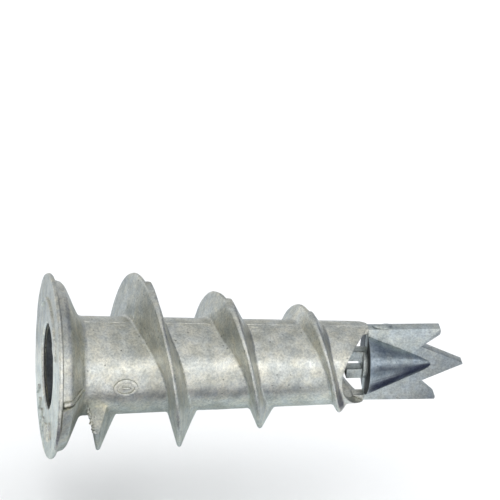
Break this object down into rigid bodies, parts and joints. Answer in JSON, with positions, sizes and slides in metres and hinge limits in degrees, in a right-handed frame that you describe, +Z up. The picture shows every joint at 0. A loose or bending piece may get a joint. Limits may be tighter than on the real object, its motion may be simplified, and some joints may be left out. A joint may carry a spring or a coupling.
{
  "type": "self-drilling wall anchor",
  "caption": "Die-cast zinc self-drilling anchor for plasterboard: flanged head, hollow ribbed barrel with a coarse tapering thread and a spade drill tip that swings open for the screw.",
  "frame": {"origin": "middle of the head's front face, in the plane of the wall's surface", "axes": "+X along the axis into the wall, +Z up; the drill blade lies in the XZ plane"},
  "size_m": [0.0318, 0.0146, 0.014],
  "materials": {
    "barrel_zinc": "raw die-cast zinc, satin and lightly mottled",
    "blade_zinc": "raw die-cast zinc, matt",
    "cone_zinc": "raw die-cast zinc, smooth where the screw slides"
  },
  "bodies": {
    "anchor_shell": {"head_disc": "barrel_zinc", "head_collar": "barrel_zinc", "countersink_nib_front": "barrel_zinc", "countersink_nib_rear": "barrel_zinc", "barrel": "barrel_zinc", "upper_leg": "barrel_zinc", "lower_leg": "barrel_zinc", "drive_rib_1": "barrel_zinc", "drive_rib_2": "barrel_zinc", "drive_rib_3": "barrel_zinc", "drive_rib_4": "barrel_zinc", "pilot_ring": "barrel_zinc", "thread_front_0": "barrel_zinc", "thread_rear_0": "barrel_zinc", "thread_front_1": "barrel_zinc", "thread_rear_1": "barrel_zinc", "thread_front_2": "barrel_zinc", "thread_rear_2": "barrel_zinc", "thread_front_3": "barrel_zinc", "cavity_mark": "barrel_zinc"},
    "drill_tip": {"drill_blade": "blade_zinc", "tip_cone": "cone_zinc", "thrust_stub": "barrel_zinc"}
  },
  "joints": [
    {"name": "tip_swing", "type": "hinge", "parent": "anchor_shell", "child": "drill_tip", "pos_m": [0.02425, 0, -0.00306], "axis": [0, 1, 0], "range_deg": [0, 90]}
  ]
}
